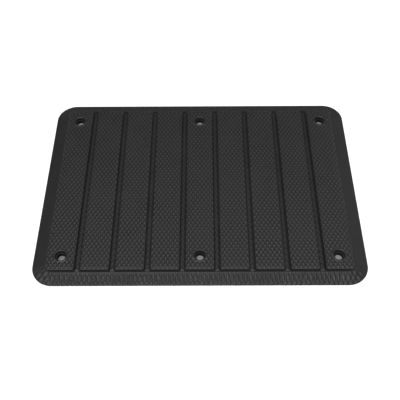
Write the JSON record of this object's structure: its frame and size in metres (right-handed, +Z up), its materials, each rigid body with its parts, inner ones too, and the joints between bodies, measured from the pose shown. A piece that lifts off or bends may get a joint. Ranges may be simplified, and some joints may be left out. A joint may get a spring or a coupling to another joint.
{
  "type": "snowboard stomp pad",
  "caption": "Rectangular foam traction pad with raised textured tread strips, a bevelled border, screw holes and an adhesive back under a split release liner.",
  "frame": {"origin": "centre of the pad's underside, on the release liner's lower face", "axes": "+X along the long side, +Y from the front edge to the back edge along the strips, +Z up"},
  "size_m": [0.2, 0.144, 0.005],
  "materials": {
    "base_foam": "matte, embossed",
    "tread_foam": "matte, embossed",
    "adhesive": "tacky film",
    "release_paper": "siliconed satin"
  },
  "bodies": {
    "pad": {"base_pad": "base_foam", "tread_strip_1": "tread_foam", "tread_strip_2": "tread_foam", "tread_strip_3": "tread_foam", "tread_strip_4": "tread_foam", "tread_strip_5": "tread_foam", "tread_strip_6": "tread_foam", "tread_strip_7": "tread_foam", "tread_strip_8": "tread_foam", "tread_strip_9": "tread_foam", "bonding_film": "adhesive"},
    "liner_left": {"release_liner_left": "release_paper"},
    "liner_right": {"release_liner_right": "release_paper"}
  },
  "joints": [
    {"name": "liner_left_pull", "type": "slide", "parent": "pad", "child": "liner_left", "axis": [-1, 0, 0], "range_m": [0, 0.115]},
    {"name": "liner_right_pull", "type": "slide", "parent": "pad", "child": "liner_right", "axis": [1, 0, 0], "range_m": [0, 0.105]}
  ]
}
